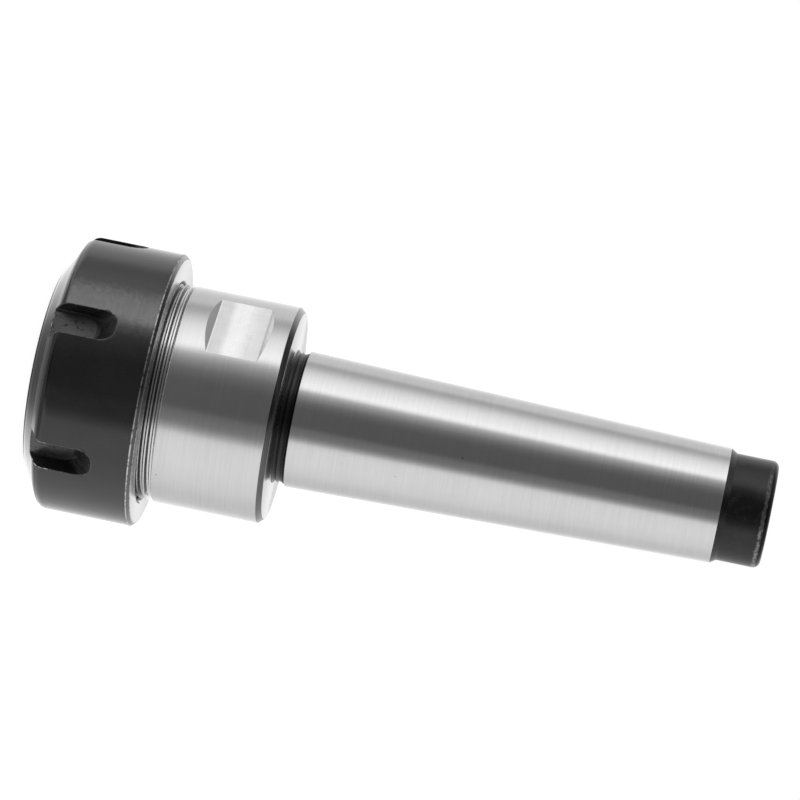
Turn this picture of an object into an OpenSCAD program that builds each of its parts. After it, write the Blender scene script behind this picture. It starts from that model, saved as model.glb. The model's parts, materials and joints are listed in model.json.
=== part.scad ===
// Collet chuck with a self-holding taper shank, a clamping nut and its spring collet.
// It stands on the front face of the nut: the common axis is Z, the shank points up,
// and the front face of the nut lies on z = 0.

/* [Clamping nut] */
// Outer diameter of the nut
nut_d = 63; // [60:0.5:70]
// Length of the nut from its front face to its rear face
nut_len = 27; // [26:0.5:29]
// Outer diameter of the flat ring at the very front
nut_face_d = 42; // [38:0.2:44]
// Diameter at which the slight lead round that face ends
nut_lead_d = 45.2; // [44:0.2:48]
// Height of that lead
nut_lead_len = 0.35; // [0.1:0.05:0.8]
// Diameter at which the inner front cone meets the outer one
nut_band_d = 53.8; // [50:0.2:55]
// Height of that meeting line above the front face
nut_band_z = 2.9; // [2:0.05:3.5]
// Height at which the outer front cone would meet the rim
nut_nose_len = 5.25; // [4.5:0.05:6.5]
// Radius between the outer cone and the rim
nut_edge_r = 2.4; // [0.5:0.1:3]
// Chamfer at the rear of the rim
nut_rear_chamfer = 0.8; // [0.3:0.1:2]
// Diameter of the mouth in the front face
nut_mouth_d = 34.8; // [34.4:0.1:36]
// Chamfer around the mouth
nut_mouth_chamfer = 0.6; // [0.3:0.1:0.8]

/* [Spanner slots of the nut] */
// Number of slots around the nut
slot_count = 6; // [3:1:8]
// Width of a slot
slot_w = 7; // [5:0.5:9]
// Depth of a slot below the rim
slot_depth = 4.5; // [3.5:0.1:5]
// Length of the slot floor, from the front face
slot_floor_len = 13.8; // [10:0.1:16]
// Angle at which the end of a slot leans outwards
slot_lean = 42; // [20:1:45]
// Corner radius of the cutter that ends a slot
slot_corner_r = 2.7; // [1:0.1:3.2]
// Direction of the first slot around the axis
slot_turn = -112.4; // [-120:0.1:-60]

/* [Nose thread] */
// Nominal diameter of the thread between nose and nut
thread_d = 50; // [49:0.5:51]
// Pitch of that thread
thread_pitch = 1.5; // [1:0.25:1.5]
// Radial room outside the crests of the nose thread
thread_play = 0.05; // [0.03:0.01:0.1]
// Length of thread that shows between nut and collar
thread_shown = 3.3; // [2:0.1:5]
// Distance of the nose's front end from the lip in the nut
nose_gap = 0.9; // [0.5:0.1:1.5]

/* [Collar] */
// Diameter of the collar
collar_d = 50; // [50:0.5:56]
// Length of the collar with its chamfers
collar_len = 25.4; // [24:0.1:32]
// Edge break at the front of the collar
collar_front_break = 0.4; // [0.2:0.1:1]
// Radial width of the chamfer at the rear of the collar
collar_rear_w = 1.1; // [0.5:0.1:2]
// Axial length of that chamfer
collar_rear_len = 1.25; // [0.5:0.05:2]

/* [Spanner flats of the collar] */
// Distance across the two flats
flat_across = 46.8; // [44:0.1:48]
// Axial length of the flat ground
flat_len = 11.6; // [8:0.1:14]
// Distance of that ground from the front of the collar
flat_from_front = 7.3; // [5:0.1:8]
// Length over which each end of a flat rises to the collar
flat_end_len = 1.5; // [0.5:0.1:2]
// Direction of the first flat around the axis
flat_turn = -136.1; // [-180:0.1:0]

/* [Shank] */
// Diameter of the taper at its gauge plane
gauge_d = 31.267; // [30:0.001:33]
// Distance of the gauge plane from the rear face of the collar
gauge_from_collar = 5; // [4:0.1:7]
// Length over which the taper loses one millimetre of diameter
taper_run = 19.254; // [19:0.001:20.1]
// Length of the shank from the rear face of the collar
shank_len = 111.9; // [105:0.1:120]
// Length of the turned neck between collar and taper
neck_len = 3.2; // [3:0.1:3.8]
// Radial depth of the neck below the taper
neck_depth = 0.65; // [0.4:0.05:1]
// Depth of the turned rings in the neck
neck_ring_depth = 0.3; // [0.15:0.05:0.4]
// Length of the unground end of the shank
tip_len = 11.2; // [8:0.1:15]
// Diameter of the unground end
tip_d = 24.5; // [23:0.1:25]
// Length of the cone that leads down to it
tip_cone_len = 1.45; // [0.5:0.05:3]
// Radius around the end face
tip_round_r = 1.6; // [0.8:0.1:2]

/* [Bores of the body] */
// Nominal diameter of the drawbar thread
drawbar_d = 16; // [12:0.5:17]
// Depth of the drawbar thread
drawbar_depth = 38; // [30:1:45]
// Widening of the drawbar hole at the end face
drawbar_sink = 0.9; // [0.5:0.1:1.2]
// Diameter of the bore that joins the drawbar thread and the tool room
through_d = 10; // [6:0.5:11]
// Depth of the tool room behind the collet
tool_room_len = 30; // [15:1:50]
// Radial room around the tool behind the collet
tool_room_play = 0.75; // [0.5:0.05:1]

/* [Spring collet] */
// Bore of the collet
collet_bore_d = 20; // [6:0.5:22]
// Largest diameter of the collet
collet_d = 41; // [40.4:0.1:41.2]
// Length of the collet
collet_len = 46; // [42:0.5:50]
// Diameter of the collet's front face
collet_face_d = 33.6; // [33:0.1:34]
// Distance of that face behind the front face of the nut
collet_recess = 0.8; // [0.6:0.1:1.2]
// Half angle of the front cone
collet_front_angle = 30; // [30:1:33]
// Half angle of the rear cone and of its seat
seat_angle = 8; // [7:0.1:9]
// Length of the rim between front cone and groove
collet_rim_len = 1.2; // [0.8:0.1:1.6]
// Width of the groove
groove_w = 2.6; // [2.2:0.1:3]
// Depth of the groove below the rim
groove_depth = 1.7; // [1.4:0.1:2]
// Step from the rim down to the start of the rear cone
cone_step = 0.35; // [0.2:0.05:0.6]
// Number of slits cut from each end
slit_count = 8; // [4:1:8]
// Width of a slit
slit_w = 1.1; // [0.6:0.1:1.6]
// Length left uncut at the far end of each slit
slit_bridge = 5; // [3.5:0.5:8]
// Chamfer at both ends of the collet's bore
collet_bore_chamfer = 0.8; // [0.4:0.1:1.2]

/* [Fits] */
// Room between the collet and the cone in the nut
cone_play = 0.06; // [0.03:0.01:0.1]
// Room between the collet and its seat in the body
seat_play = 0.05; // [0.03:0.01:0.1]
// Room around the collet's rim inside the nut
rim_play = 0.25; // [0.15:0.05:0.4]
// Room beside the lip inside the collet's groove
lip_play = 0.3; // [0.2:0.05:0.4]
// Distance by which the lip stands off centre
lip_offset = 1.1; // [0.8:0.1:1.2]

/* [Hidden] */
$fn = 96;
past = 1; // how far a cutter runs past the face that it opens

// Spring collet, from its front face up
collet_z = collet_recess;
collet_top = collet_z + collet_len;
rim_r = collet_d / 2;
rim_z = collet_z + (rim_r - collet_face_d / 2) / tan(collet_front_angle);
groove_z = rim_z + collet_rim_len;
cone_z = groove_z + groove_w;
groove_r = rim_r - groove_depth;
cone_r = rim_r - cone_step;
groove_lead = 0.2; // bevel from the groove up to the rear cone
collet_edge = 0.6; // bevel around the collet's rear end

function cone_at(z) = cone_r - (z - cone_z) * tan(seat_angle);

// Nut, from its front face up
nut_r = nut_d / 2;
mouth_r = nut_mouth_d / 2;
cone_gap = cone_play / cos(collet_front_angle);
pocket_r = rim_r + rim_play;
mouth_z = collet_z + (mouth_r - cone_gap - collet_face_d / 2) / tan(collet_front_angle);
pocket_z = collet_z + (pocket_r - cone_gap - collet_face_d / 2) / tan(collet_front_angle);
lip_z = groove_z + lip_play;
lip_top = cone_z - groove_lead - lip_play;
lip_blank_r = pocket_r - lip_offset - past / 2; // bore of the lip before its hole is cut
nut_bore_r = thread_d / 2 + thread_play;
relief_depth = 0.3; // run-out groove at the inner end of the nut's thread
relief_len = 2.5;
bore_lead = 0.6; // chamfer where the thread opens at the rear face
slot_floor_r = nut_r - slot_depth;

// Body, from the front end of its nose up
nose_z = lip_top + nose_gap;
thread_depth = 0.6134 * thread_pitch; // depth of a 60 degree metric thread
nose_core_r = thread_d / 2 - thread_depth;
nose_lead = 0.8; // chamfer at the front end of the nose
collar_z = nut_len + thread_shown;
collar_top = collar_z + collar_len;
collar_r = collar_d / 2;
tip_top = collar_top + shank_len;
gauge_z = collar_top + gauge_from_collar;
taper_z = collar_top + neck_len;
taper_top = tip_top - tip_len;
tip_r = tip_d / 2;

function taper_at(z) = (gauge_d - (z - gauge_z) / taper_run) / 2;

neck_r = taper_at(taper_z) - neck_depth;
neck_fillet_r = 0.9; // root of the neck at the collar
undercut_w = 0.5; // groove that frees the grinding wheel
undercut_depth = 0.35;
undercut_r = neck_r - undercut_depth;
ring_tool_r = 0.9; // nose of the tool that turned the neck
ring_places = [0.28, 0.72]; // where its rings lie, as shares of the neck

// Bores of the body
seat_gap = seat_play / cos(seat_angle);
seat_run_on = 1.5; // length of seat above the collet
seat_top = collet_top + seat_run_on;
seat_lead = 0.4; // chamfer at the mouth of the seat
room_r = collet_bore_d / 2 + tool_room_play;
room_top = seat_top + tool_room_len;
drill_point = 59; // half angle of a drill's point
through_r = through_d / 2;
room_point_top = room_top + (room_r - through_r) / tan(drill_point);
drawbar_r = drawbar_d / 2;
drawbar_z = tip_top - drawbar_depth;
drawbar_point_z = drawbar_z - (drawbar_r - through_r) / tan(drill_point);

// Spanner flats
flat_h = flat_across / 2;
flat_z = collar_z + flat_from_front;

// Outline of the body: nose, collar, neck, taper and tip
module body_outline() {
    difference() {
        polygon([
            [0, nose_z],
            [nose_core_r - nose_lead, nose_z],
            [nose_core_r, nose_z + nose_lead],
            [nose_core_r, collar_z],
            [collar_r - collar_front_break, collar_z],
            [collar_r, collar_z + collar_front_break],
            [collar_r, collar_top - collar_rear_len],
            [collar_r - collar_rear_w, collar_top],
            [neck_r + neck_fillet_r, collar_top],
            [neck_r, collar_top + neck_fillet_r],
            [neck_r, taper_z - undercut_w],
            [undercut_r, taper_z - undercut_w],
            [undercut_r, taper_z],
            [taper_at(taper_z), taper_z],
            [taper_at(taper_top), taper_top],
            [tip_r, taper_top + tip_cone_len],
            [tip_r, tip_top],
            [0, tip_top]
        ]);
        neck_rings();
        translate([neck_r + neck_fillet_r, collar_top + neck_fillet_r])
            circle(r = neck_fillet_r);
        outer_round(tip_r, tip_top, tip_round_r);
    }
}

// Two shallow rings that the turning tool left in the neck
module neck_rings() {
    room = neck_len - undercut_w;
    for (place = ring_places)
        translate([neck_r + ring_tool_r - neck_ring_depth, collar_top + room * place])
            circle(r = ring_tool_r);
}

// What rounding takes off an upper outer corner at (r, z)
module outer_round(r, z, round_r) {
    translate([r - round_r, z - round_r])
        difference() {
            square(round_r + past);
            circle(r = round_r);
        }
}

// Everything bored out of the body
module body_bores() {
    polygon([
        [0, nose_z - past],
        [cone_at(nose_z) + seat_gap + seat_lead + past, nose_z - past],
        [cone_at(nose_z) + seat_gap + seat_lead, nose_z],
        [cone_at(nose_z + seat_lead) + seat_gap, nose_z + seat_lead],
        [cone_at(seat_top) + seat_gap, seat_top],
        [room_r, seat_top],
        [room_r, room_top],
        [through_r, room_point_top],
        [through_r, drawbar_point_z],
        [drawbar_r, drawbar_z],
        [drawbar_r, tip_top - drawbar_sink],
        [drawbar_r + drawbar_sink, tip_top],
        [drawbar_r + drawbar_sink, tip_top + past],
        [0, tip_top + past]
    ]);
}

// One spanner flat, cut across +X, with both ends rising straight to the collar
module flat_cut() {
    reach = collar_r + past;
    rise = flat_end_len * (reach - flat_h) / (collar_r - flat_h);
    rotate([90, 0, 0])
        linear_extrude(height = 2 * reach, center = true)
            polygon([
                [flat_h, flat_z],
                [flat_h, flat_z + flat_len],
                [reach, flat_z + flat_len + rise],
                [reach, flat_z - rise]
            ]);
}

module chuck_body() {
    color("silver")
        difference() {
            rotate_extrude()
                difference() {
                    body_outline();
                    body_bores();
                }
            for (turn = [0, 180])
                rotate([0, 0, flat_turn + turn])
                    flat_cut();
        }
}

// Section of the nut, with the lip still as a full ring and no slots
module nut_section() {
    polygon([
        [mouth_r + nut_mouth_chamfer, 0],
        [nut_face_d / 2, 0],
        [nut_lead_d / 2, nut_lead_len],
        [nut_band_d / 2, nut_band_z],
        [nut_r, nut_nose_len],
        [nut_r, nut_len - nut_rear_chamfer],
        [nut_r - nut_rear_chamfer, nut_len],
        [nut_bore_r + bore_lead, nut_len],
        [nut_bore_r, nut_len - bore_lead],
        [nut_bore_r, lip_top + relief_len],
        [nut_bore_r + relief_depth, lip_top + relief_len - relief_depth],
        [nut_bore_r + relief_depth, lip_top],
        [lip_blank_r, lip_top],
        [lip_blank_r, lip_z],
        [pocket_r, lip_z],
        [pocket_r, pocket_z],
        [mouth_r, mouth_z],
        [mouth_r, nut_mouth_chamfer]
    ]);
}

// What the radius takes off where the outer front cone meets the rim
module nut_edge_round() {
    lean = atan2(nut_nose_len - nut_band_z, nut_r - nut_band_d / 2);
    reach = nut_edge_r * tan((90 - lean) / 2);
    cone_end = [nut_r - reach * cos(lean), nut_nose_len - reach * sin(lean)];
    middle = [nut_r - nut_edge_r, nut_nose_len + reach];
    difference() {
        polygon([
            middle,
            cone_end,
            [cone_end[0], cone_end[1] - past],
            [nut_r + past, cone_end[1] - past],
            [nut_r + past, middle[1]]
        ]);
        translate(middle)
            circle(r = nut_edge_r);
    }
}

// Hole of the extractor lip: it stands off centre, so that one side of the lip hooks into the groove
module lip_hole() {
    translate([lip_offset, 0, lip_z])
        cylinder(r = pocket_r, h = lip_top - lip_z + past);
}

// One spanner slot along +X, open to the front. It is one leaning bar with a rounded end,
// cut level at the floor of the slot.
module slot_cut() {
    reach = nut_r + past;
    bar_len = 2 * slot_floor_len;
    intersection() {
        translate([slot_floor_r, -slot_w / 2 - past, -past])
            cube([reach - slot_floor_r, slot_w + 2 * past, nut_len]);
        translate([slot_floor_r, 0, slot_floor_len])
            rotate([0, 90 - slot_lean, 0])
                linear_extrude(height = 4 * bar_len, center = true)
                    slot_bar(bar_len);
    }
}

// Section of that bar: its end lies on x = 0 and has two rounded corners
module slot_bar(len) {
    side = slot_w / 2 - slot_corner_r;
    translate([slot_corner_r, -slot_w / 2])
        square([len - slot_corner_r, slot_w]);
    translate([0, -side])
        square([len, 2 * side]);
    for (y = [-side, side])
        translate([slot_corner_r, y])
            circle(r = slot_corner_r);
}

module clamping_nut() {
    color([0.14, 0.14, 0.15])
        difference() {
            rotate_extrude()
                difference() {
                    nut_section();
                    nut_edge_round();
                }
            lip_hole();
            for (i = [0 : slot_count - 1])
                rotate([0, 0, slot_turn + i * 360 / slot_count])
                    slot_cut();
        }
}

// Section of the collet
module collet_section() {
    bore_r = collet_bore_d / 2;
    polygon([
        [bore_r + collet_bore_chamfer, collet_z],
        [collet_face_d / 2, collet_z],
        [rim_r, rim_z],
        [rim_r, groove_z],
        [groove_r, groove_z],
        [groove_r, cone_z - groove_lead],
        [cone_at(cone_z) - groove_lead, cone_z - groove_lead],
        [cone_at(cone_z), cone_z],
        [cone_at(collet_top - collet_edge), collet_top - collet_edge],
        [cone_at(collet_top) - collet_edge, collet_top],
        [bore_r + collet_bore_chamfer, collet_top],
        [bore_r, collet_top - collet_bore_chamfer],
        [bore_r, collet_z + collet_bore_chamfer]
    ]);
}

// One slit along +X between two heights
module slit_cut(from_z, to_z) {
    translate([0, -slit_w / 2, from_z])
        cube([rim_r + past, slit_w, to_z - from_z]);
}

module spring_collet() {
    step = 360 / slit_count;
    color("gainsboro")
        difference() {
            rotate_extrude()
                collet_section();
            for (i = [0 : slit_count - 1]) {
                rotate([0, 0, i * step])
                    slit_cut(collet_z - past, collet_top - slit_bridge);
                rotate([0, 0, (i + 0.5) * step])
                    slit_cut(cone_z + slit_bridge, collet_top + past);
            }
        }
}

chuck_body();
clamping_nut();
spring_collet();
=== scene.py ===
# Looks of the collet chuck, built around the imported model. All sizes in the dictionaries are in mm.
import json
from math import atan2, cos, degrees, pi, radians, sin, tan

import bpy
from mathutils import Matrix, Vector

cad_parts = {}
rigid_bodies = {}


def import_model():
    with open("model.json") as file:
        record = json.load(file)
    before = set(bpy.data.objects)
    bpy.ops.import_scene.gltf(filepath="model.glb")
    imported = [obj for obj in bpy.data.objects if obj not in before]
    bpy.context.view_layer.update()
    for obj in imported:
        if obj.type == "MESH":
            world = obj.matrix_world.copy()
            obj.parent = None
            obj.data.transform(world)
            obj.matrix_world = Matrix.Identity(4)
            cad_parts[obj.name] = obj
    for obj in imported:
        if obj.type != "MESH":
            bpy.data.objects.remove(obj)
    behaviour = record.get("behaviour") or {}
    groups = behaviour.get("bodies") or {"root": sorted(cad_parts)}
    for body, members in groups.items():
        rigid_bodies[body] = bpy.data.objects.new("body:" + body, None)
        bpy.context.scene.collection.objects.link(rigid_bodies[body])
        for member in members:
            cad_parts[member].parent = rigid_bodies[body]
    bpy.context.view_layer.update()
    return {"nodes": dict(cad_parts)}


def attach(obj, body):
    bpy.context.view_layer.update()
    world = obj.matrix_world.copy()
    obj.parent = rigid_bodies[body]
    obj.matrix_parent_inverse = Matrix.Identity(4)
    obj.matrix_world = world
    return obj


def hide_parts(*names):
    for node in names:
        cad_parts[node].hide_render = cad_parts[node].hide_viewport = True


mm = 0.001
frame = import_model()
print("frame loaded:", sorted(frame["nodes"]))


# camera

view = {
    "place": (-8.843, -924.536, 142.720),
    "turn": (-71.4415, -77.8506, 161.8296),  # degrees, found from the rims and outlines
    "lens": 183.843,
    "sensor": 36,
    "clip": (10, 50000),  # nearest and furthest thing that is drawn
}


def setCamera():
    bpy.ops.object.camera_add(
        location=[v * mm for v in view["place"]],
        rotation=[radians(v) for v in view["turn"]],
    )
    camera = bpy.context.object
    camera.data.lens = view["lens"]
    camera.data.sensor_width = view["sensor"]
    camera.data.clip_start, camera.data.clip_end = [v * mm for v in view["clip"]]
    bpy.context.scene.camera = camera
    bpy.context.scene.view_settings.view_transform = "Standard"


setCamera()


# shader maths

class Flow:
    # a socket that takes part in plain arithmetic
    def __init__(self, socket):
        self.socket = socket
        self.tree = socket.id_data

    def maths(self, operation, *values):
        return addNode(self.tree, "ShaderNodeMath", {"operation": operation}, dict(enumerate(values)))

    def __add__(self, other):
        return self.maths("ADD", self, other)

    def __radd__(self, other):
        return self.maths("ADD", other, self)

    def __sub__(self, other):
        return self.maths("SUBTRACT", self, other)

    def __rsub__(self, other):
        return self.maths("SUBTRACT", other, self)

    def __mul__(self, other):
        return self.maths("MULTIPLY", self, other)

    def __rmul__(self, other):
        return self.maths("MULTIPLY", other, self)

    def __truediv__(self, other):
        return self.maths("DIVIDE", self, other)

    def __pow__(self, other):
        return self.maths("POWER", self, other)

    def __abs__(self):
        return self.maths("ABSOLUTE", self)


def addNode(tree, kind, settings=None, sockets=None, out=0):
    node = tree.nodes.new(kind)
    for name, value in (settings or {}).items():
        if name == "stops":
            elements = node.color_ramp.elements
            while len(elements) < len(value):
                elements.new(0.5)  # its place is set below
            for element, (place, level) in zip(elements, value):
                element.position = place
                element.color = grey(level)
        else:
            setattr(node, name, value)
    for name, value in (sockets or {}).items():
        if isinstance(value, Flow):
            tree.links.new(value.socket, node.inputs[name])
        else:
            node.inputs[name].default_value = value
    return Flow(node.outputs[out])


def grey(level):
    return (level, level, level, 1)


def splitVector(value):
    parts = addNode(value.tree, "ShaderNodeSeparateXYZ", None, {0: value})
    return [Flow(output) for output in parts.socket.node.outputs]


def between(value, low, high):
    # 0 below low, 1 above high, with a soft start and end
    return addNode(
        value.tree, "ShaderNodeMapRange", {"interpolation_type": "SMOOTHSTEP"},
        {"Value": value, "From Min": low, "From Max": high},
    )


def ramp(value, stops):
    # a number that follows the stops (place, level) as value goes from 0 to 1
    return addNode(value.tree, "ShaderNodeValToRGB", {"stops": stops}, {0: value}) * 1.0


def endTree(shown, kind):
    last = shown.tree.nodes.new(kind)
    shown.tree.links.new(shown.socket, last.inputs["Surface"])


# light and floor

tent = {
    # brightness of the light tent against the angle round the upright axis in degrees,
    # with 0 towards the camera; the dark part is the opening through which the camera looks in
    "round": [
        (-180, 1.12), (-160, 0.98), (-140, 0.84), (-120, 0.82), (-113, 0.62), (-108, 0.56),
        (-100, 0.70), (-90, 0.98), (-80, 1.20), (-68, 1.36), (-58, 1.50), (-54, 1.36),
        (-48, 0.64), (-44, 0.50), (-40, 0.38), (-30, 0.20), (-18, 0.135), (11, 0.13),
        (16, 0.20), (27, 0.255), (31, 0.34), (36, 0.58), (41, 0.96), (50, 1.05),
        (75, 1.06), (100, 0.98), (120, 0.84), (140, 0.80), (160, 0.95), (180, 1.12),
    ],
    # share of it that is left towards the ground, against the ray's height (sine)
    "below": [
        (-1, 0.05), (-0.85, 0.06), (-0.81, 0.09), (-0.755, 0.14), (-0.72, 0.20),
        (-0.675, 0.42), (-0.60, 0.63), (-0.485, 0.83), (-0.36, 1.0),
    ],
    # and towards the zenith
    "above": [(0.5, 1.0), (0.7, 0.85), (0.87, 0.65), (1, 0.45)],
    "behind": (0.36, 0.44),  # "below" holds from here on, in turns away from the camera
    "steep": (0.72, 0.92), "steepShare": 0.7,  # and in part on all sides, for rays this steep
    "strength": 1.7,
}


def setWorld():
    world = bpy.data.worlds.new("lightTent")
    bpy.context.scene.world = world
    world.use_nodes = True
    tree = world.node_tree
    tree.nodes.clear()
    x, y, z = splitVector(addNode(tree, "ShaderNodeTexCoord", out="Generated"))
    turn = x.maths("ARCTAN2", x, 0 - y) / (2 * pi) + 0.5
    levels = [(angle / 360 + 0.5, min(level / tent["strength"], 1)) for angle, level in tent["round"]]
    shares = [(height / 2 + 0.5, share) for height, share in tent["below"] + tent["above"]]
    ring = ramp(turn, levels)
    fall = ramp(z / 2 + 0.5, shares)
    behind = between(abs(turn - 0.5), *tent["behind"])
    steep = between(0 - z, *tent["steep"]) * tent["steepShare"]
    above = z.maths("GREATER_THAN", z, 0.0)
    fallen = above + (1 - above) * behind.maths("MAXIMUM", behind, steep)
    strength = ring * (1 - fallen + fallen * fall) * tent["strength"]
    light = addNode(tree, "ShaderNodeBackground", None, {"Color": grey(1), "Strength": strength})
    plain = addNode(tree, "ShaderNodeBackground", None, {"Color": grey(1), "Strength": 1})
    seen = addNode(tree, "ShaderNodeLightPath", out="Is Camera Ray")
    both = addNode(tree, "ShaderNodeMixShader", None, {0: seen, 1: light, 2: plain})
    endTree(both, "ShaderNodeOutputWorld")


setWorld()


def deselectAll():
    if bpy.context.object and bpy.context.object.mode != "OBJECT":
        bpy.ops.object.mode_set(mode="OBJECT")
    bpy.ops.object.select_all(action="DESELECT")


floorLook = {
    "size": 8000, "drop": 0.05, "paper": 0.25, "glow": 0.93,
    "rough": 0.8, "roughSpan": 0.2, "grainScale": 900.0,  # grains in a metre
}


def layFloor():
    deselectAll()
    f = floorLook
    bpy.ops.mesh.primitive_plane_add(size=f["size"] * mm, location=(0, 0, -f["drop"] * mm))
    floor = bpy.context.object
    floor.name = "paperFloor"
    material = bpy.data.materials.new("whitePaper")
    material.use_nodes = True
    tree = material.node_tree
    tree.nodes.clear()
    where = addNode(tree, "ShaderNodeTexCoord", out="Object")
    grain = addNode(tree, "ShaderNodeTexNoise", None, {"Vector": where, "Scale": f["grainScale"]})
    rough = grain * f["roughSpan"] + f["rough"]
    paper = addNode(tree, "ShaderNodeBsdfDiffuse", None, {"Color": grey(f["paper"]), "Roughness": rough})
    glow = addNode(tree, "ShaderNodeEmission", None, {"Color": grey(1), "Strength": f["glow"]})
    shown = addNode(tree, "ShaderNodeAddShader", None, {0: paper, 1: glow})
    clear = addNode(tree, "ShaderNodeBsdfTransparent")
    seen = addNode(tree, "ShaderNodeLightPath", out="Is Camera Ray")
    under = addNode(tree, "ShaderNodeNewGeometry", out="Backfacing")
    # only the camera sees it, and only from above
    fromAbove = seen * (1 - under)
    both = addNode(tree, "ShaderNodeMixShader", None, {0: fromAbove, 1: clear, 2: shown})
    endTree(both, "ShaderNodeOutputMaterial")
    floor.data.materials.append(material)


layFloor()
print("camera, light tent and floor are set")


# finishes

class Finish:
    # a principled shader whose patterns follow the piece's own coordinates
    def __init__(self, name, **fixed):
        self.material = bpy.data.materials.new(name)
        self.material.use_nodes = True
        self.tree = self.material.node_tree
        self.shader = self.tree.nodes["Principled BSDF"]
        self.feed(**fixed)
        self.where = self.node("ShaderNodeTexCoord", out="Object")
        self.x, self.y, self.z = splitVector(self.where)
        self.r = (self.x * self.x + self.y * self.y) ** 0.5

    def node(self, kind, settings=None, sockets=None, out=0):
        return addNode(self.tree, kind, settings, sockets, out)

    def feed(self, **values):
        for socket, value in values.items():
            target = self.shader.inputs[socket.replace("_", " ")]
            if isinstance(value, Flow):
                self.tree.links.new(value.socket, target)
            else:
                target.default_value = value

    def towards(self, x, y):
        # 1 on the side that faces (x, y), -1 on the opposite side
        return (self.x * x + self.y * y) / self.r

    def noise(self, vector, scale, detail, roughness=0.5):
        sockets = {"Vector": vector, "Scale": scale, "Detail": detail, "Roughness": roughness}
        return self.node("ShaderNodeTexNoise", None, sockets)

    def rings(self, around, width, detail=3.0, seed=0.0, across="z"):
        # lines that run round the axis: about 'around' waves per radian, 'width' mm apart along z,
        # or along the radius on end faces; a little of the radius gives level faces lines too
        way = self.r if across == "r" else self.z + self.r * 0.02
        spot = self.node("ShaderNodeCombineXYZ", None, {
            0: self.x / self.r * around,
            1: self.y / self.r * around,
            2: way / (width * mm) + seed,
        })
        return self.noise(spot, 1.0, detail, 0.6)

    def grains(self, size, detail=4.0, shift=0.0):
        # clouds about 'size' mm across; a shift in metres gives others of the same kind
        moved = self.node("ShaderNodeVectorMath", {"operation": "ADD"}, {0: self.where, 1: (shift,) * 3})
        return self.noise(moved, 1 / (size * mm), detail)

    def pits(self, size, share):
        # small round marks in cells of 'size' mm: 1 inside a mark
        cells = {"Vector": self.where, "Scale": 1 / (size * mm)}
        away = self.node("ShaderNodeTexVoronoi", {"feature": "F1"}, cells, out="Distance")
        return 1 - between(away, share * 0.5, share)

    def blend(self, factor, first, second):
        return self.node("ShaderNodeMix", {"data_type": "RGBA"}, {0: factor, 6: first, 7: second}, out=2)

    def bump(self, height, depth):
        # height 0..1 stands for 'depth' mm
        self.feed(Normal=self.node("ShaderNodeBump", None, {"Height": height, "Distance": depth * mm}))


def groundSteel(name, lines, level=0.60, rough=0.20, spread=0.85, across="z"):
    # bare steel with the lines of a grinding wheel or turning tool, 'lines' mm apart
    look = Finish(name, Metallic=1.0, Anisotropic=spread, Anisotropic_Rotation=0.25)
    fine = look.rings(around=1.6, width=lines, across=across)
    broad = look.rings(around=0.7, width=lines * 6, seed=31.0, across=across)
    cloud = look.grains(size=9.0)
    wave = look.grains(size=14.0, detail=0.5, shift=3.0)
    marks = look.pits(size=7.5, share=0.035) * 0.8
    shade = between(fine * 0.5 + broad * 0.25 + cloud * 0.25, 0.3, 0.7)
    tone = look.blend(shade, grey(level * 0.95), grey(level * 1.05))
    tone = look.blend(marks, tone, grey(level * 0.35))
    look.feed(Base_Color=tone, Roughness=rough + (fine - 0.5) * 0.05 + (cloud - 0.5) * 0.04)
    look.bump(fine * 0.7 + broad * 0.3 + wave * 8, depth=0.0015)
    return look.material


def oiledChamferPaintedSheen(name):
    # rear chamfers: turned steel under a dark film of oil and dirt, with painted light: lighter towards one
    # side and on the -x side
    look = Finish(name, Metallic=1.0)
    fine = look.rings(around=1.6, width=0.3)
    cloud = look.grains(size=3.0)
    # painted light: these masks lighten the chamfer on two sides, where reflected light would be brighter
    paintedLitSide = between(look.towards(0.93, -0.37) + (cloud - 0.5) * 0.3, 0.1, 0.8)
    paintedLight = paintedLitSide * 0.5 + between(0 - look.x / look.r, 0.7, 1.0)
    tone = look.blend(paintedLight, grey(0.04), grey(0.28))
    look.feed(Base_Color=tone, Roughness=0.24 + (fine - 0.5) * 0.1 + (cloud - 0.5) * 0.1)
    look.bump(fine, depth=0.002)
    return look.material


def blackScale(name, wornAt=None, shine=1.44):
    # unground steel, dull black from the oven: with wornAt, rubbed through in spots near that height;
    # shine is its IOR
    look = Finish(name, IOR=shine)
    cloud = look.grains(size=5.0)
    speck = look.grains(size=0.35, detail=6.0)
    turned = look.rings(around=1.0, width=0.3)
    tone = look.blend(between(cloud * 0.5 + speck * 0.5, 0.35, 0.65), grey(0.002), grey(0.006))
    if wornAt:
        away = abs(look.z - wornAt * mm) / mm
        side = look.towards(0.8, -0.6)
        scratches = look.rings(around=14.0, width=0.5, detail=4.0, seed=9.0)
        spots = look.grains(size=0.9, detail=6.0, shift=2.0)
        patches = look.grains(size=4.0, detail=2.0, shift=8.0)
        wear = scratches * 0.45 + spots * 0.35 + patches * 0.2 + 0.15 + side * 0.07
        rubbed = between(wear - between(away, 0.05, 1.0) * 0.24, 0.56, 0.76) * (side * 0.45 + 0.55)
        smudge = between(look.grains(size=2.2, detail=5.0, shift=12.0) + (speck - 0.5) * 0.3, 0.48, 0.72)
        tone = look.blend(rubbed, look.blend(smudge, tone, grey(0.016)), grey(0.22))
        look.feed(Metallic=rubbed)
    look.feed(Base_Color=tone, Roughness=0.27 + (cloud - 0.5) * 0.14 + (speck - 0.5) * 0.12)
    look.bump(turned * 0.35 + speck * 0.65, depth=0.004)
    return look.material


# turning and cutting

weld = 0.002 * mm  # points closer than this become one
hair, near, wide = 0.02, 0.05, 0.1  # room in mm when faces are told apart by their place


def editPiece(piece, mode="EDGE"):
    bpy.context.view_layer.objects.active = piece
    piece.select_set(True)
    bpy.ops.object.mode_set(mode="EDIT")
    bpy.ops.mesh.select_mode(type=mode)


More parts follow.
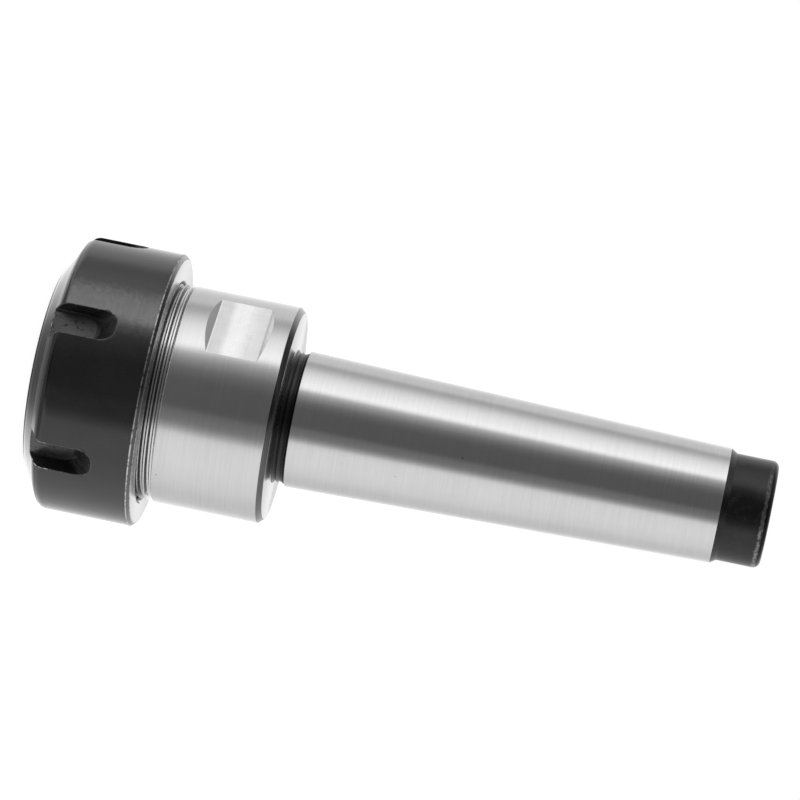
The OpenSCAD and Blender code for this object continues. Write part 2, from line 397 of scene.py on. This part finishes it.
def pick(piece, parts, chosen, mode="EDGE"):
    # in edit mode, with only the chosen vertices, edges or faces selected
    editPiece(piece, mode)
    bpy.ops.mesh.select_all(action="DESELECT")
    bpy.ops.object.mode_set(mode="OBJECT")
    for part in parts:
        part.select = chosen(part)
    bpy.ops.object.mode_set(mode="EDIT")


def applyPlace():
    bpy.ops.object.mode_set(mode="OBJECT")
    bpy.ops.object.transform_apply(location=True, rotation=True, scale=True)


def drawOutline(name, outline, lift=0.0):
    # a new piece, left in edit mode: a closed line through (radius, height) in mm, raised by lift
    deselectAll()
    bpy.ops.mesh.primitive_plane_add(size=mm, location=(outline[0][0] * mm, 0, (outline[0][1] + lift) * mm))
    piece = bpy.context.object
    piece.name = piece.data.name = name
    editPiece(piece, "VERT")
    bpy.ops.mesh.select_all(action="SELECT")
    bpy.ops.mesh.merge(type="CENTER")
    for (r0, z0), (r1, z1) in zip(outline, outline[1:] + outline[:1]):
        step = ((r1 - r0) * mm, 0, (z1 - z0) * mm)
        bpy.ops.mesh.extrude_region_move(TRANSFORM_OT_translate={"value": step})
    bpy.ops.mesh.select_all(action="SELECT")
    bpy.ops.mesh.remove_doubles(threshold=weld)
    return piece


def turnPiece(name, outline, steps):
    # the outline turned once round the upright axis
    piece = drawOutline(name, outline)
    bpy.ops.mesh.spin(steps=steps, angle=2 * pi, center=(0, 0, 0), axis=(0, 0, 1))
    bpy.ops.mesh.select_all(action="SELECT")
    bpy.ops.mesh.remove_doubles(threshold=weld)
    bpy.ops.mesh.normals_make_consistent(inside=False)
    applyPlace()
    return piece


def applyModifier(piece, kind, **settings):
    bpy.context.view_layer.objects.active = piece
    modifier = piece.modifiers.new(kind.lower(), kind)
    for name, value in settings.items():
        setattr(modifier, name, value)
    bpy.ops.object.modifier_apply(modifier=modifier.name)


def breakEdges(piece, width, above, look=-1):
    # bevels every edge that turns by more than 'above' degrees; look -1 keeps the finish beside it
    applyModifier(
        piece, "BEVEL", width=width * mm, segments=2, limit_method="ANGLE", angle_limit=radians(above),
        use_clamp_overlap=False, miter_outer="MITER_ARC", material=look,
    )


def cutPiece(piece, cutter):
    applyModifier(piece, "BOOLEAN", object=cutter, operation="DIFFERENCE", solver="EXACT")
    bpy.data.objects.remove(cutter)


def smoothPiece(piece, below):
    # edges that turn by less than 'below' degrees are shaded smooth
    deselectAll()
    piece.select_set(True)
    bpy.context.view_layer.objects.active = piece
    bpy.ops.object.shade_smooth_by_angle(angle=radians(below))


def paintFaces(piece, finishes, choose):
    # choose gets a face's centre in mm and its normal, and names its finish
    piece.data.materials.clear()
    for material in finishes.values():
        piece.data.materials.append(material)
    names = list(finishes)
    for face in piece.data.polygons:
        face.material_index = names.index(choose(face.center / mm, face.normal))


def turnSelected(angle):
    bpy.ops.transform.rotate(value=angle, orient_axis="Z", center_override=(0, 0, 0))


def arc(cx, cz, r, start, end, steps):
    # points of a circle round (cx, cz) between two angles in degrees
    angles = [radians(start + (end - start) * i / steps) for i in range(steps + 1)]
    return [(cx + r * cos(angle), cz + r * sin(angle)) for angle in angles]


# chuck body

body = {
    "steps": 192,
    "breakW": 0.10,  # width of the broken edges
    "noseZ": 11.409, "noseR": 24.08, "noseLead": 0.8,
    "collarZ": 30.3, "collarR": 25.0, "collarTop": 55.7, "collarBreak": 0.2, "rearW": 1.1, "rearLen": 1.25,
    "neckR": 15.030, "neckFillet": 0.9, "neckFilletEnd": -152,
    "ringR": 0.9, "ringDepth": 0.3, "ringPlaces": (56.456, 57.644),  # two round grooves in the neck
    "ringStart": 208,  # degrees, where the first one leaves the fillet
    "undercutW": 0.5, "undercutR": 14.680,
    "taperZ": 58.9, "taperTop": 156.4, "taperR0": 15.680, "taperR1": 13.148,
    "tipR": 12.25, "tipCone": 1.45, "tipTop": 167.6, "tipRound": 1.6,
    "tipDullFrom": 0.75,  # how far up the rounding its own finish starts
    "drawbarR": 8.0, "drawbarSink": 0.9, "drawbarZ": 129.6, "drawbarPointZ": 127.797, "throughR": 5.0,
    "roomR": 10.75, "roomTop": 78.3, "roomPointTop": 81.755,
    "seatTop": 48.3, "seatR1": 14.960, "seatR0": 20.088, "seatLead": 0.4, "seatLeadW": 0.456,
    "flatHalf": 23.4, "flatZ": 37.6, "flatLen": 11.6, "flatEnd": 1.5, "flatTurn": -136.1,
    "flatCutDepth": 6.0, "flatCutW": 60.0,
    "outsideR": 12.0,  # behind the collar, what lies further out is an outer face
    "insideR": 21.0,  # in the nose, what lies further in is a bore
}


def milledFlat(name):
    # spanner flat: bright, with broad soft bands across it, lighter and darker along its length and up the
    # end wall at its upper end
    look = Finish(name, Metallic=1.0, Anisotropic=0.3, Anisotropic_Rotation=0.25)
    fine = look.rings(around=1.6, width=0.35)
    cloud = look.grains(size=2.5)
    height = (look.z - body["flatZ"] * mm) / ((body["flatLen"] + body["flatEnd"]) * mm)
    band = ramp(height, [
        (0, 0.9), (0.03, 0.3), (0.2, 0.4), (0.3, 1.0), (0.53, 0.95),
        (0.66, 0.6), (0.86, 0.45), (0.9, 0.3), (0.96, 1.0),
    ])
    shade = band * 0.85 + (cloud - 0.5) * 0.5 + (fine - 0.5) * 0.3 + 0.05
    look.feed(Base_Color=look.blend(shade, grey(0.60), grey(1.0)), Roughness=0.27 + (fine - 0.5) * 0.1)
    look.bump(fine * 0.7 + cloud * 0.6, depth=0.002)
    return look.material


bodyFinishes = {
    "taper": groundSteel("groundTaper", 0.16),
    "collar": groundSteel("groundCollar", 0.22),
    "turned": groundSteel("turnedSteel", 0.30, level=0.66),
    "bore": groundSteel("boredSteel", 0.25, level=0.42, rough=0.34),
    "neck": blackScale("blackNeck"),
    "undercut": blackScale("blackUndercut", shine=1.2),
    "tip": blackScale("blackEnd", wornAt=166.1),
    "tipRound": blackScale("blackRounding", shine=1.25),
    "flat": milledFlat("milledFlat"),
    # painted shade: the end wall that faces up the axis is a darker copy of the steel
    "flatEnd": groundSteel("milledFlatEndShaded", 0.35, level=0.41, rough=0.34, spread=0.3),
    "endFace": groundSteel("facedEnd", 0.3, level=0.42, rough=0.16, across="r"),
    "chamfer": oiledChamferPaintedSheen("oiledChamferPaintedSheen"),
    # painted highlight: the collar's front break is a brighter copy of the steel, a light line along the
    # edge
    "collarBreak": groundSteel("brightBreakPaintedHighlight", 0.3, level=0.85, rough=0.48, spread=0.0),
}


def bodyOutline():
    b = body
    ringInset = b["ringR"] - b["ringDepth"]
    ringEnd = degrees(atan2((b["ringR"] ** 2 - ringInset ** 2) ** 0.5, ringInset))
    outline = [
        (b["noseR"] - b["noseLead"], b["noseZ"]),
        (b["noseR"], b["noseZ"] + b["noseLead"]),
        (b["noseR"], b["collarZ"]),
        (b["collarR"] - b["collarBreak"], b["collarZ"]),
        (b["collarR"], b["collarZ"] + b["collarBreak"]),
        (b["collarR"], b["collarTop"] - b["rearLen"]),
        (b["collarR"] - b["rearW"], b["collarTop"]),
    ]
    neckX, neckZ = b["neckR"] + b["neckFillet"], b["collarTop"] + b["neckFillet"]
    outline += arc(neckX, neckZ, b["neckFillet"], -90, b["neckFilletEnd"], 4)
    # the first groove runs into the fillet
    for z, start, steps in zip(b["ringPlaces"], (b["ringStart"], 180 + ringEnd), (5, 6)):
        outline += arc(b["neckR"] + ringInset, z, b["ringR"], start, 180 - ringEnd, steps)
    outline += [
        (b["neckR"], b["taperZ"] - b["undercutW"]),
        (b["undercutR"], b["taperZ"] - b["undercutW"]),
        (b["undercutR"], b["taperZ"]),
        (b["taperR0"], b["taperZ"]),
        (b["taperR1"], b["taperTop"]),
        (b["tipR"], b["taperTop"] + b["tipCone"]),
    ]
    outline += arc(b["tipR"] - b["tipRound"], b["tipTop"] - b["tipRound"], b["tipRound"], 0, 90, 8)
    outline += [
        (b["drawbarR"] + b["drawbarSink"], b["tipTop"]),
        (b["drawbarR"], b["tipTop"] - b["drawbarSink"]),
        (b["drawbarR"], b["drawbarZ"]),
        (b["throughR"], b["drawbarPointZ"]),
        (b["throughR"], b["roomPointTop"]),
        (b["roomR"], b["roomTop"]),
        (b["roomR"], b["seatTop"]),
        (b["seatR1"], b["seatTop"]),
        (b["seatR0"], b["noseZ"] + b["seatLead"]),
        (b["seatR0"] + b["seatLeadW"], b["noseZ"]),
    ]
    return outline


def flatCutter(turn):
    # a block whose two ends lean outwards, from the flat up to the collar's surface
    b = body
    deselectAll()
    depth = b["flatCutDepth"]
    bpy.ops.mesh.primitive_cube_add(
        size=1, location=((b["flatHalf"] + depth / 2) * mm, 0, (b["flatZ"] + b["flatLen"] / 2) * mm),
        scale=(depth * mm, b["flatCutW"] * mm, b["flatLen"] * mm),
    )
    cutter = bpy.context.object
    applyPlace()
    pick(cutter, cutter.data.polygons, lambda face: face.normal.x > 0.9, "FACE")
    spread = 2 * b["flatEnd"] * depth / (b["collarR"] - b["flatHalf"])
    bpy.ops.transform.resize(value=(1, 1, 1 + spread / b["flatLen"]))
    bpy.ops.mesh.select_all(action="SELECT")
    turnSelected(-radians(turn))
    bpy.ops.object.mode_set(mode="OBJECT")
    return cutter


def bodyLook(centre, normal):
    b = body
    r, z = centre.xy.length, centre.z
    flatHeight = b["flatZ"] - b["flatEnd"] < z < b["flatZ"] + b["flatLen"] + b["flatEnd"]
    if flatHeight and b["flatHalf"] - 0.5 < r < b["collarR"] - 0.01:
        flatWay = Vector((cos(radians(b["flatTurn"])), sin(radians(b["flatTurn"]))))
        off = Vector((normal.x, normal.y)).angle(flatWay, 0)
        upright = abs(normal.z) < 0.05
        if min(off, pi - off) < radians(1) and upright:
            return "flat"
        if not upright:
            # the end wall facing up the axis gets the painted-shade copy; the other takes the flat's finish
            return "flatEnd" if normal.z > 0 else "flat"
    onChamfer = b["collarTop"] - b["rearLen"] + near < z < b["collarTop"] + near
    if onChamfer and r > b["collarR"] - b["rearW"] - wide and normal.z < 0.98:
        return "chamfer"
    if normal.z > 0.9 and abs(z - b["collarTop"]) < near:
        return "endFace"
    atFront = z < b["collarZ"] + b["collarBreak"] + wide and r > b["collarR"] - b["collarBreak"] - wide
    # the break gets the painted-highlight finish
    if atFront and abs(normal.z) > 0.1:
        return "collarBreak"
    if z > b["taperTop"] + near and r > b["drawbarR"] + 0.2:
        return "tipRound" if z > b["tipTop"] - b["tipRound"] + b["tipDullFrom"] else "tip"
    outside = r > b["outsideR"]
    if b["collarTop"] + wide < z < b["taperZ"] + hair and outside and r < b["taperR0"]:
        return "undercut" if z > b["taperZ"] - b["undercutW"] - hair else "neck"
    if z >= b["taperZ"] - hair and outside:
        return "taper"
    if z > b["collarZ"] - near and r > b["neckR"]:
        return "collar"
    if r < b["insideR"] or abs(normal.z) > 0.9:
        return "bore"
    return "turned"


def makeBody():
    piece = turnPiece("chuckBody", bodyOutline(), body["steps"])
    breakEdges(piece, body["breakW"], above=35)
    for turn in (body["flatTurn"], body["flatTurn"] + 180):
        cutPiece(piece, flatCutter(turn))
    paintFaces(piece, bodyFinishes, bodyLook)
    smoothPiece(piece, below=18)
    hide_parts("chuck_body")
    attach(piece, "holder")
    print("chuck body:", len(piece.data.polygons), "faces")


makeBody()


# clamping nut

nut = {
    "steps": 192,
    "breakW": 0.16,
    "faceR": 21.0, "leadR": 22.6, "leadLen": 0.35, "bandR": 26.9, "bandZ": 2.9, "noseLen": 5.25,
    "rimR": 31.5, "rimRoundR": 2.4,
    "rimRows": range(9, 26),  # heights of the rows of points along the rim
    "len": 27.0, "rearChamfer": 0.8, "boreR": 25.05, "boreLead": 0.45,
    "reliefR": 25.35, "reliefTop": 13.009, "reliefLead": 0.3,
    "lipTop": 10.509, "lipZ": 8.709, "lipBlankR": 19.15, "lipOffset": 1.1,  # bored that far off centre
    "pocketR": 20.75, "pocketZ": 7.522, "mouthR": 17.4, "mouthZ": 1.719, "mouthChamfer": 0.6,
    "slotCount": 6, "slotW": 7.0, "slotFloorR": 27.0, "slotFloorLen": 13.8, "slotLean": 42,  # degrees
    "slotCornerR": 2.7, "slotFillet": 0.7, "slotTurn": -112.4, "slotTop": 22.0,
}


def blackOxide(name):
    # hot blackened steel under an oil film: dark and half glossy, with rubbed marks, and a painted
    # highlight: lighter and glossier on one side
    look = Finish(name, IOR=1.38, Coat_Roughness=0.08)
    cloud = look.grains(size=6.0)
    speck = look.grains(size=0.5, detail=6.0)
    scuffs = look.grains(size=0.9, detail=8.0, shift=3.0)
    turned = look.rings(around=1.0, width=0.35)
    marks = look.pits(size=5.0, share=0.05)
    # painted highlight: lighter and glossier a little on one whole side and more along a narrow stretch of
    # it, mottled like rubbed wear
    paintedSheenSide = between(look.towards(-0.64, -0.77) + (cloud - 0.5) * 0.06, 0.84, 0.98)
    paintedHighlightStripe = between(look.towards(-0.525, -0.851) + (scuffs - 0.5) * 0.02, 0.976, 1.0)
    rubbed = (paintedSheenSide * 0.06 + paintedHighlightStripe * 0.55) * (scuffs * 0.3 + turned * 0.5 + cloud * 0.3 + 0.45)
    tone = look.blend(between(cloud * 0.6 + speck * 0.4, 0.35, 0.65), grey(0.013), grey(0.019))
    tone = look.blend(marks * 0.6, tone, grey(0.05))
    tone = look.blend(rubbed, tone, grey(0.16))
    look.feed(
        Base_Color=tone, Metallic=rubbed, Coat_Weight=rubbed * 0.3 + 0.56,
        Roughness=0.14 + (cloud - 0.5) * 0.06 + (speck - 0.5) * 0.06 + (turned - 0.5) * 0.06,
    )
    look.bump(turned * 0.4 + speck * 0.6, depth=0.0015)
    return look.material


def castBlack(name, level=1.0, shine=1.75):
    # floor and walls of the slots: blackened as cast, with small pits; shine is its IOR
    look = Finish(name, IOR=shine)
    cloud = look.grains(size=3.0)
    speck = look.grains(size=0.45, detail=5.0)
    pitted = between(look.grains(size=1.1, detail=3.0, shift=7.0), 0.60, 0.68)
    tone = look.blend(between(cloud * 0.5 + speck * 0.5, 0.3, 0.7), grey(0.018 * level), grey(0.034 * level))
    tone = look.blend(pitted, tone, grey(0.003))
    look.feed(Base_Color=tone, Roughness=0.30 + (speck - 0.5) * 0.2 + pitted * 0.3)
    look.bump(speck * 0.4 - pitted, depth=0.02)
    return look.material


# share of bare steel on the nut's front, against the radius, with painted light and shade in it
bareSteelAndPaintedShade = {
    "face": 0.66,
    # its stretch at zero paints a dark shadow line round the lead
    "lead": [(-0.5, 0.41), (-0.2, 0.0), (0.5, 0.0), (0.6, 1.0), (1.1, 1.0)],  # from the lead's radius on
    # on the cones, near the y axis and near the x axis; the cones are painted darker near the y axis and
    # lighter near the x axis, as painted shade and light
    "alongY": [
        (24.1, 0.52), (26.6, 0.52), (27.4, 0.25), (28.3, 0.23), (28.8, 0.14),
        (29.3, 0.06), (29.8, 0.045), (30.4, 0.06), (31.0, 0.04),
    ],
    "alongX": [
        (24.1, 0.60), (26.6, 0.66), (27.4, 0.57), (28.3, 0.66), (28.8, 0.57),
        (29.2, 0.22), (29.5, 0.06), (30.0, 0.035), (31.0, 0.03),
    ],
}


def groundFront(name):
    # front cones: ground bright, running out into the black of the rim, with a painted shadow line round the
    # lead, and painted light and shade by side
    look = Finish(name, IOR=1.36, Anisotropic=0.1, Anisotropic_Rotation=0.25)
    n = nut
    fine = look.rings(around=1.6, width=0.3, across="r")
    place = (look.r - n["faceR"] * mm) / ((n["rimR"] - n["faceR"]) * mm)
    shares = []
    for cones in (bareSteelAndPaintedShade["alongY"], bareSteelAndPaintedShade["alongX"]):
        lead = [(n["leadR"] + past, share) for past, share in bareSteelAndPaintedShade["lead"]]
        stops = [((r - n["faceR"]) / (n["rimR"] - n["faceR"]), share) for r, share in lead + cones]
        shares.append(ramp(place, [(0, bareSteelAndPaintedShade["face"])] + stops))
    across = look.x / look.r
    side = between(abs(across), 0.3, 0.55)
    # painted light: barer, so brighter, on one side, most of all on the outer cone
    barerPaintedLight = between(across, 0.3, 0.45) * (between(look.r, 27.4 * mm, 28.2 * mm) * 0.3 + 0.25) + 1
    steel = (shares[0] * (1 - side) + shares[1] * side) * barerPaintedLight
    look.feed(
        Base_Color=look.blend(steel, grey(0.008), grey(0.75)), Metallic=between(steel, 0.0, 0.3),
        Roughness=0.13 + (fine - 0.5) * 0.06 + (1 - steel) * 0.1,
    )
    look.bump(fine, depth=0.0015)
    return look.material


def wornEdge(name, bare, steel):
    # edge of a blackened part where the steel shows through in places, most of all at the rear; the bare
    # steel carries a painted highlight on one side
    look = Finish(name, IOR=1.68)
    speck = look.grains(size=0.8, detail=5.0)
    patch = look.grains(size=5.0, detail=3.0, shift=4.0)
    along = between(look.z, 25 * mm, 26 * mm) * 0.18 - between(look.z, 7 * mm, 10 * mm) * 0.09
    through = between(speck * 0.75 + patch * 0.25 + along, 0.62 - 0.24 * bare, 0.80 - 0.24 * bare)
    # painted highlight: the bare steel is painted brighter towards the +x side
    shade = between(look.x / look.r, -0.8, 0.4) * 0.6 + speck * 0.6 - 0.1
    tone = look.blend(through, grey(0.02), look.blend(shade, grey(steel * 0.4), grey(steel)))
    look.feed(Base_Color=tone, Metallic=through, Roughness=0.30 + (speck - 0.5) * 0.1)
    look.bump(speck, depth=0.003)
    return look.material


nutFinishes = {
    "rim": blackOxide("blackNut"),
    "rearFace": groundSteel("groundNutFace", 0.3, level=0.50, rough=0.22, across="r"),
    "worn": wornEdge("wornNutEdge", bare=0.7, steel=0.62),
    "front": groundFront("groundNutFront"),
    "slotFloor": castBlack("castSlotFloor"),
    # the walls are a painted-shade copy of the floor's finish, darker, and the end walls a painted-light
    # copy, lighter
    "slotWall": castBlack("castSlotWallShaded", level=0.75, shine=1.42),
    "slotEnd": castBlack("castSlotEndLit", level=1.1, shine=1.5),
    "undercut": bodyFinishes["undercut"],
    "chamfer": bodyFinishes["chamfer"],
}


def rimRound():
    # rounding from the outer cone into the rim
    n = nut
    lean = atan2(n["noseLen"] - n["bandZ"], n["rimR"] - n["bandR"])
    reach = n["rimRoundR"] * tan((pi / 2 - lean) / 2)
    return arc(n["rimR"] - n["rimRoundR"], n["noseLen"] + reach, n["rimRoundR"], degrees(lean) - 90, 0, 10)


def nutOutline():
    n = nut
    # rise of the two front cones; the extra points beside their edges keep the cones' shading apart
    coneA = (n["bandZ"] - n["leadLen"]) / (n["bandR"] - n["leadR"])
    coneB = (n["noseLen"] - n["bandZ"]) / (n["rimR"] - n["bandR"])
    beside = 0.15
    return [
        (n["mouthR"] + n["mouthChamfer"], 0),
        (n["faceR"], 0),
        (n["leadR"], n["leadLen"]),
        (n["leadR"] + beside, n["leadLen"] + beside * coneA),
        (n["bandR"] - beside, n["bandZ"] - beside * coneA),
        (n["bandR"], n["bandZ"]),
        (n["bandR"] + beside, n["bandZ"] + beside * coneB),
    ] + rimRound() + [(n["rimR"], z) for z in n["rimRows"]] + [
        (n["rimR"], n["len"] - n["rearChamfer"]),
        (n["rimR"] - n["rearChamfer"], n["len"]),
        (n["boreR"] + n["boreLead"], n["len"]),
        (n["boreR"], n["len"] - n["boreLead"]),
        (n["boreR"], n["reliefTop"]),
        (n["reliefR"], n["reliefTop"] - n["reliefLead"]),
        (n["reliefR"], n["lipTop"]),
        (n["lipBlankR"], n["lipTop"]),
        (n["lipBlankR"], n["lipZ"]),
        (n["pocketR"], n["lipZ"]),
        (n["pocketR"], n["pocketZ"]),
        (n["mouthR"], n["mouthZ"]),
        (n["mouthR"], n["mouthChamfer"]),
    ]


def lipCutter():
    # bores the extractor lip off centre
    n = nut
    deselectAll()
    height = n["lipTop"] - n["lipZ"] + 1
    bpy.ops.mesh.primitive_cylinder_add(
        vertices=n["steps"], radius=n["pocketR"] * mm, depth=height * mm,
        location=(n["lipOffset"] * mm, 0, (n["lipZ"] + height / 2) * mm),
    )
    return bpy.context.object


def slotCutter():
    # a leaning bar with a rounded end, cut level at the floor of the slots, copied round the rim
    n = nut
    deselectAll()
    length = 2 * n["slotFloorLen"] * mm
    bpy.ops.mesh.primitive_cube_add(
        size=1, location=(length / 2, 0, 0), scale=(length, n["slotW"] * mm, 4 * length),
    )
    cutter = bpy.context.object
    applyPlace()

    def longEdge(edge):
        # one of the two upright edges on the bar's inner side
        first, second = [cutter.data.vertices[v].co for v in edge.vertices]
        return abs(first.x / mm) < 0.01 and abs(second.x / mm) < 0.01 and abs(first.z - second.z) > mm

    pick(cutter, cutter.data.edges, longEdge)
    bpy.ops.mesh.bevel(offset=n["slotCornerR"] * mm, segments=8, affect="EDGES", clamp_overlap=False)
    bpy.ops.object.mode_set(mode="OBJECT")
    cutter.rotation_euler = (0, radians(90 - n["slotLean"]), 0)
    cutter.location = (n["slotFloorR"] * mm, 0, n["slotFloorLen"] * mm)
    applyPlace()
    editPiece(cutter)
    for radius, side in ((n["slotFloorR"], "clear_inner"), (n["rimR"] + 1, "clear_outer")):
        bpy.ops.mesh.select_all(action="SELECT")
        bpy.ops.mesh.bisect(plane_co=(radius * mm, 0, 0), plane_no=(1, 0, 0), use_fill=True, **{side: True})
    bpy.ops.object.mode_set(mode="OBJECT")

    def floorEdge(edge):
        return all(abs(cutter.data.vertices[v].co.x / mm - n["slotFloorR"]) < 0.01 for v in edge.vertices)

    pick(cutter, cutter.data.edges, floorEdge)
    bpy.ops.mesh.bevel(offset=n["slotFillet"] * mm, segments=4, affect="EDGES", clamp_overlap=True)
    bpy.ops.mesh.select_all(action="SELECT")
    turnSelected(-radians(n["slotTurn"]))
    for _ in range(n["slotCount"] - 1):
        bpy.ops.mesh.duplicate()
        turnSelected(-2 * pi / n["slotCount"])
    bpy.ops.mesh.select_all(action="SELECT")
    bpy.ops.mesh.normals_make_consistent(inside=False)
    bpy.ops.object.mode_set(mode="OBJECT")
    return cutter


def slotLook(centre, normal):
    # finish of a face inside a slot, or nothing away from the slots
    n = nut
    step = 2 * pi / n["slotCount"]
    turn = (atan2(centre.y, centre.x) - radians(n["slotTurn"]) + step / 2) % step - step / 2
    r = centre.xy.length
    depth, aside = r * cos(turn), abs(r * sin(turn))
    if r > n["rimR"] - hair or depth < n["slotFloorR"] - hair:
        return None
    if aside > n["slotW"] / 2 + hair or centre.z > n["slotTop"]:
        return None
    if normal.xy.dot(centre.xy) / r > 0.98 and depth < n["slotFloorR"] + hair:
        return "slotFloor"
    return "slotEnd" if normal.z < -0.35 else "slotWall"


def nutLook(centre, normal):
    n = nut
    r, z = centre.xy.length, centre.z
    inSlot = slotLook(centre, normal)
    if inSlot:
        return inSlot
    if normal.z < -0.6 and r > n["mouthR"] and z < n["noseLen"]:
        return "front"
    if r > n["rimR"] - n["rearChamfer"] and 0.3 < normal.z < 0.9 and z > n["len"] - n["rearChamfer"]:
        return "chamfer"
    if z > n["len"] - near and r < n["rimR"] - n["rearChamfer"] + wide:
        return "rearFace"
    if r < n["boreR"] + n["boreLead"] and z > n["reliefTop"]:
        return "undercut"
    return "rim"


def makeNut():
    piece = turnPiece("clampingNut", nutOutline(), nut["steps"])
    cutPiece(piece, lipCutter())
    cutPiece(piece, slotCutter())
    paintFaces(piece, nutFinishes, nutLook)
    breakEdges(piece, nut["breakW"], above=28, look=list(nutFinishes).index("worn"))
    smoothPiece(piece, below=22)
    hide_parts("clamping_nut")
    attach(piece, "nut")
    print("clamping nut:", len(piece.data.polygons), "faces")


makeNut()


# threads

# each is a ridge from its root to its crest, which points outwards (out 1) or inwards (out -1)
threads = {
    "noseThread": {
        "rootR": 24.00, "crestR": 24.93, "rootHalf": 0.62, "crestHalf": 0.16, "out": 1,
        "pitch": 1.5, "from": 12.3, "turns": 12,
        "body": "holder", "slot": "ground_steel", "look": "turned",
    },
    "nutThread": {
        "rootR": 25.13, "crestR": 24.22, "rootHalf": 0.62, "crestHalf": 0.10, "out": -1,
        "pitch": 1.5, "from": 13.05, "turns": 9,
        "body": "nut", "slot": "blackened_steel", "look": "undercut",
    },
    "drawbarThread": {
        "rootR": 8.08, "crestR": 7.0, "rootHalf": 0.85, "crestHalf": 0.15, "out": -1,
        "pitch": 2.0, "from": 131.0, "turns": 17,
        "body": "holder", "slot": "ground_steel", "look": "bore",
    },
}
threadCut = {
    "steps": 72,  # sections in a turn
    "runOut": 7,  # sections that sink away at each end
    "sink": 0.05,  # how far the crest ends under the wall
    "shadedFlankTop": 29.1,  # the flanks are painted in shade below this height; the last turn by the collar keeps the lit finish
}
# thread flanks: a darker copy of the turned steel, painted shade between the crests
oiledFlank = groundSteel("paintedShadeThreadFlank", 0.3, level=0.16, rough=0.34)


def ridge(name, t):
    # one ridge that climbs round the axis to the right, with a run-out at both ends
    profile = [
        (t["rootR"], -t["rootHalf"]),
        (t["crestR"], -t["crestHalf"]),
        (t["crestR"], t["crestHalf"]),
        (t["rootR"], t["rootHalf"]),
    ]
    piece = drawOutline(name, profile, t["from"])
    applyPlace()
    steps, runOut = threadCut["steps"], threadCut["runOut"]
    applyModifier(
        piece, "SCREW", axis="Z", angle=2 * pi, screw_offset=t["pitch"] * mm, iterations=t["turns"],
        steps=steps, render_steps=steps, use_merge_vertices=False, use_smooth_shade=False,
    )
    editPiece(piece)
    bpy.ops.mesh.select_all(action="DESELECT")
    bpy.ops.mesh.select_non_manifold(
        extend=False, use_wire=False, use_boundary=True, use_multi_face=False,
        use_non_contiguous=False, use_verts=False,
    )
    bpy.ops.mesh.fill()
    bpy.ops.mesh.select_all(action="SELECT")
    bpy.ops.mesh.normals_make_consistent(inside=False)
    bpy.ops.object.mode_set(mode="OBJECT")
    # run-out: the first and last sections sink into the wall
    sunk = (t["rootR"] - threadCut["sink"] * t["out"]) / t["crestR"]
    last = steps * t["turns"]
    for k in range(runOut):
        sections = (k, last - k)
        pick(piece, piece.data.vertices, lambda vertex: vertex.index // len(profile) in sections, "VERT")
        share = sunk + (1 - sunk) * k / runOut
        bpy.ops.transform.resize(value=(share, share, 1), center_override=(0, 0, 0))
        bpy.ops.object.mode_set(mode="OBJECT")
    return piece


def makeThread(name, t):
    def threadLook(centre, normal):
        # the black thread of the nut gets no painted shade on its flanks
        inShade = abs(normal.z) > 0.5 and centre.z < threadCut["shadedFlankTop"]
        return "oiledFlank" if inShade and t["look"] != "undercut" else t["look"]

    piece = ridge(name, t)
    paintFaces(piece, {t["look"]: bodyFinishes[t["look"]], "oiledFlank": oiledFlank}, threadLook)
    smoothPiece(piece, below=15)
    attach(piece, t["body"])
    print(name + ":", len(piece.data.polygons), "faces")


for threadName, threadSizes in threads.items():
    makeThread(threadName, threadSizes)


# spring collet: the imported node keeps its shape

collet = frame["nodes"]["spring_collet"]
collet.data.materials.clear()
collet.data.materials.append(groundSteel("groundCollet", 0.2, level=0.56, rough=0.26))
print("spring collet has its finish")
